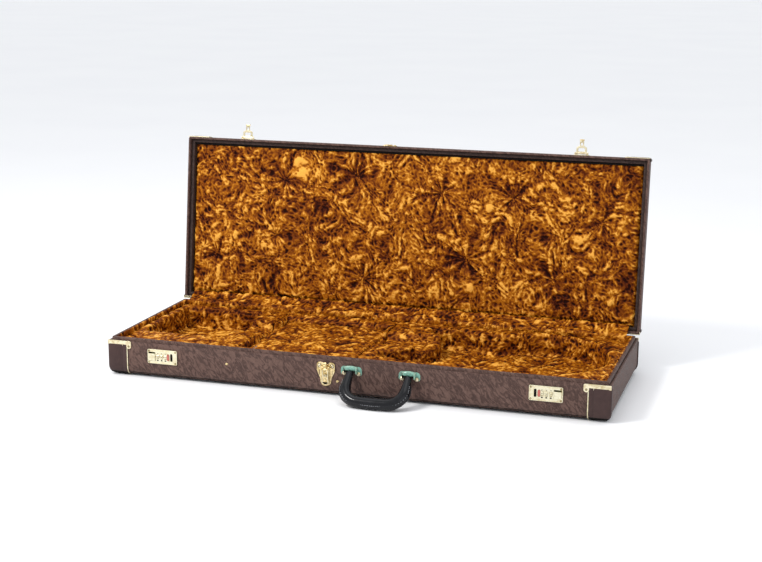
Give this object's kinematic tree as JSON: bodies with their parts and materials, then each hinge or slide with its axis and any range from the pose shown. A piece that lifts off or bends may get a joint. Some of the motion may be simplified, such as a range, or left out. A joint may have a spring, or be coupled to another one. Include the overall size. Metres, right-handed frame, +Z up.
{
  "type": "guitar case",
  "caption": "Hard rectangular guitar case standing open: hinged lid, combination locks, key latch, carrying handle, leather corners and plush-padded wells.",
  "frame": {"origin": "on the floor, at the centre of the open case's outline", "axes": "+X along the case, +Y towards the hinges, +Z up"},
  "size_m": [1.0292, 0.5226, 0.4716],
  "materials": {
    "vinyl": "brown embossed vinyl over plywood, coarse wrinkled grain, satin",
    "patch_leather": "smooth dark brown leather, stitched",
    "liner_board": "dark brown vinyl-covered board",
    "plush": "gold-brown crushed velour, strong sheen",
    "brass": "pale polished brass",
    "painted_bracket": "green-blue finish on brass",
    "handle_leather": "black padded leather, stitched seam",
    "red_enamel": "dull red enamel",
    "tab_leather": "grey-brown suede-like leather"
  },
  "bodies": {
    "tray": {"tray_shell": "vinyl", "tray_liner_board": "liner_board", "tray_corner_front_left": "patch_leather", "tray_trim_front_left": "brass", "tray_corner_rear_left": "patch_leather", "tray_trim_rear_left": "brass", "tray_corner_front_right": "patch_leather", "tray_trim_front_right": "brass", "tray_corner_rear_right": "patch_leather", "tray_trim_rear_right": "brass", "hinge_left_tray_leaf": "brass", "hinge_centre_tray_leaf": "brass", "hinge_right_tray_leaf": "brass", "lock_body_left": "brass", "lock_body_right": "brass", "latch_plate": "brass", "handle_bracket_left": "painted_bracket", "handle_bracket_right": "painted_bracket", "body_padding": "plush", "head_padding": "plush", "accessory_box": "plush", "hinge_lining_tray": "plush"},
    "lid": {"lid_shell": "vinyl", "lid_inner_frame": "liner_board", "lid_plush_panel": "plush", "hinge_lining_lid": "plush", "lid_corner_front_left": "patch_leather", "lid_trim_front_left": "brass", "lid_corner_rear_left": "patch_leather", "lid_trim_rear_left": "brass", "lid_corner_front_right": "patch_leather", "lid_trim_front_right": "brass", "lid_corner_rear_right": "patch_leather", "lid_trim_rear_right": "brass", "hinge_left_lid_leaf": "brass", "hinge_centre_lid_leaf": "brass", "hinge_right_lid_leaf": "brass", "hasp_base_left": "brass", "hasp_base_right": "brass", "lid_catch": "brass"},
    "hasp_left": {"hasp_arm_left": "brass"},
    "release_button_left": {"release_button_left": "brass"},
    "reset_bar_left": {"reset_bar_left": "red_enamel"},
    "dial_left_1": {"dial_left_1": "brass"},
    "dial_left_2": {"dial_left_2": "brass"},
    "dial_left_3": {"dial_left_3": "brass"},
    "hasp_right": {"hasp_arm_right": "brass"},
    "release_button_right": {"release_button_right": "brass"},
    "reset_bar_right": {"reset_bar_right": "red_enamel"},
    "dial_right_1": {"dial_right_1": "brass"},
    "dial_right_2": {"dial_right_2": "brass"},
    "dial_right_3": {"dial_right_3": "brass"},
    "latch_lever": {"latch_lever": "brass"},
    "latch_hook": {"latch_hook": "brass"},
    "key_barrel": {"key_barrel": "brass"},
    "handle": {"handle_grip": "handle_leather"},
    "accessory_lid": {"accessory_lid": "plush", "pull_tab": "tab_leather"}
  },
  "joints": [
    {"name": "lid_hinge", "type": "hinge", "parent": "tray", "child": "lid", "pos_m": [0, 0.17528, 0.0739], "axis": [1, 0, 0], "range_deg": [0, 96.5]},
    {"name": "hasp_left_hinge", "type": "hinge", "parent": "lid", "child": "hasp_left", "pos_m": [-0.3714, 0.22136, 0.44296], "axis": [1, 0, 0], "range_deg": [0, 90], "stiffness_Nm_per_rad": 0.01, "springref_deg": -34.38},
    {"name": "release_button_left_slide", "type": "slide", "parent": "tray", "child": "release_button_left", "axis": [0, 0, 1], "range_m": [0, 0.0025], "stiffness_N_per_m": 150, "springref_m": -0.004},
    {"name": "reset_bar_left_press", "type": "slide", "parent": "tray", "child": "reset_bar_left", "axis": [0, 1, 0], "range_m": [0, 0.0012], "stiffness_N_per_m": 150, "springref_m": -0.003},
    {"name": "dial_left_1_spin", "type": "hinge", "parent": "tray", "child": "dial_left_1", "pos_m": [-0.4011, -0.18912, 0.0471], "axis": [1, 0, 0], "continuous": true},
    {"name": "dial_left_2_spin", "type": "hinge", "parent": "tray", "child": "dial_left_2", "pos_m": [-0.3927, -0.18912, 0.0471], "axis": [1, 0, 0], "continuous": true},
    {"name": "dial_left_3_spin", "type": "hinge", "parent": "tray", "child": "dial_left_3", "pos_m": [-0.3843, -0.18912, 0.0471], "axis": [1, 0, 0], "continuous": true},
    {"name": "hasp_right_hinge", "type": "hinge", "parent": "lid", "child": "hasp_right", "pos_m": [0.3714, 0.22136, 0.44296], "axis": [1, 0, 0], "range_deg": [0, 90], "stiffness_Nm_per_rad": 0.01, "springref_deg": -34.38},
    {"name": "release_button_right_slide", "type": "slide", "parent": "tray", "child": "release_button_right", "axis": [0, 0, 1], "range_m": [0, 0.0025], "stiffness_N_per_m": 150, "springref_m": -0.004},
    {"name": "reset_bar_right_press", "type": "slide", "parent": "tray", "child": "reset_bar_right", "axis": [0, 1, 0], "range_m": [0, 0.0012], "stiffness_N_per_m": 150, "springref_m": -0.003},
    {"name": "dial_right_1_spin", "type": "hinge", "parent": "tray", "child": "dial_right_1", "pos_m": [0.4011, -0.18912, 0.0471], "axis": [1, 0, 0], "continuous": true},
    {"name": "dial_right_2_spin", "type": "hinge", "parent": "tray", "child": "dial_right_2", "pos_m": [0.3927, -0.18912, 0.0471], "axis": [1, 0, 0], "continuous": true},
    {"name": "dial_right_3_spin", "type": "hinge", "parent": "tray", "child": "dial_right_3", "pos_m": [0.3843, -0.18912, 0.0471], "axis": [1, 0, 0], "continuous": true},
    {"name": "latch_lever_hinge", "type": "hinge", "parent": "tray", "child": "latch_lever", "pos_m": [-0.043, -0.19722, 0.0581], "axis": [1, 0, 0], "range_deg": [-100, 0]},
    {"name": "latch_hook_hinge", "type": "hinge", "parent": "latch_lever", "child": "latch_hook", "pos_m": [-0.043, -0.20082, 0.0551], "axis": [1, 0, 0], "range_deg": [-4, 108]},
    {"name": "key_barrel_turn", "type": "hinge", "parent": "latch_lever", "child": "key_barrel", "pos_m": [-0.043, -0.19722, 0.0421], "axis": [0, 1, 0], "range_deg": [-90, 0]},
    {"name": "handle_hinge", "type": "hinge", "parent": "tray", "child": "handle", "pos_m": [0.068, -0.19902, 0.0561], "axis": [-1, 0, 0], "range_deg": [-40, 45]},
    {"name": "accessory_lid_hinge", "type": "hinge", "parent": "tray", "child": "accessory_lid", "pos_m": [-0.125, 0.12348, 0.057], "axis": [1, 0, 0], "range_deg": [-90, 0]}
  ],
  "couplings": [
    {"joint": "latch_hook_hinge", "follows": "latch_lever_hinge", "ratio": -1}
  ]
}
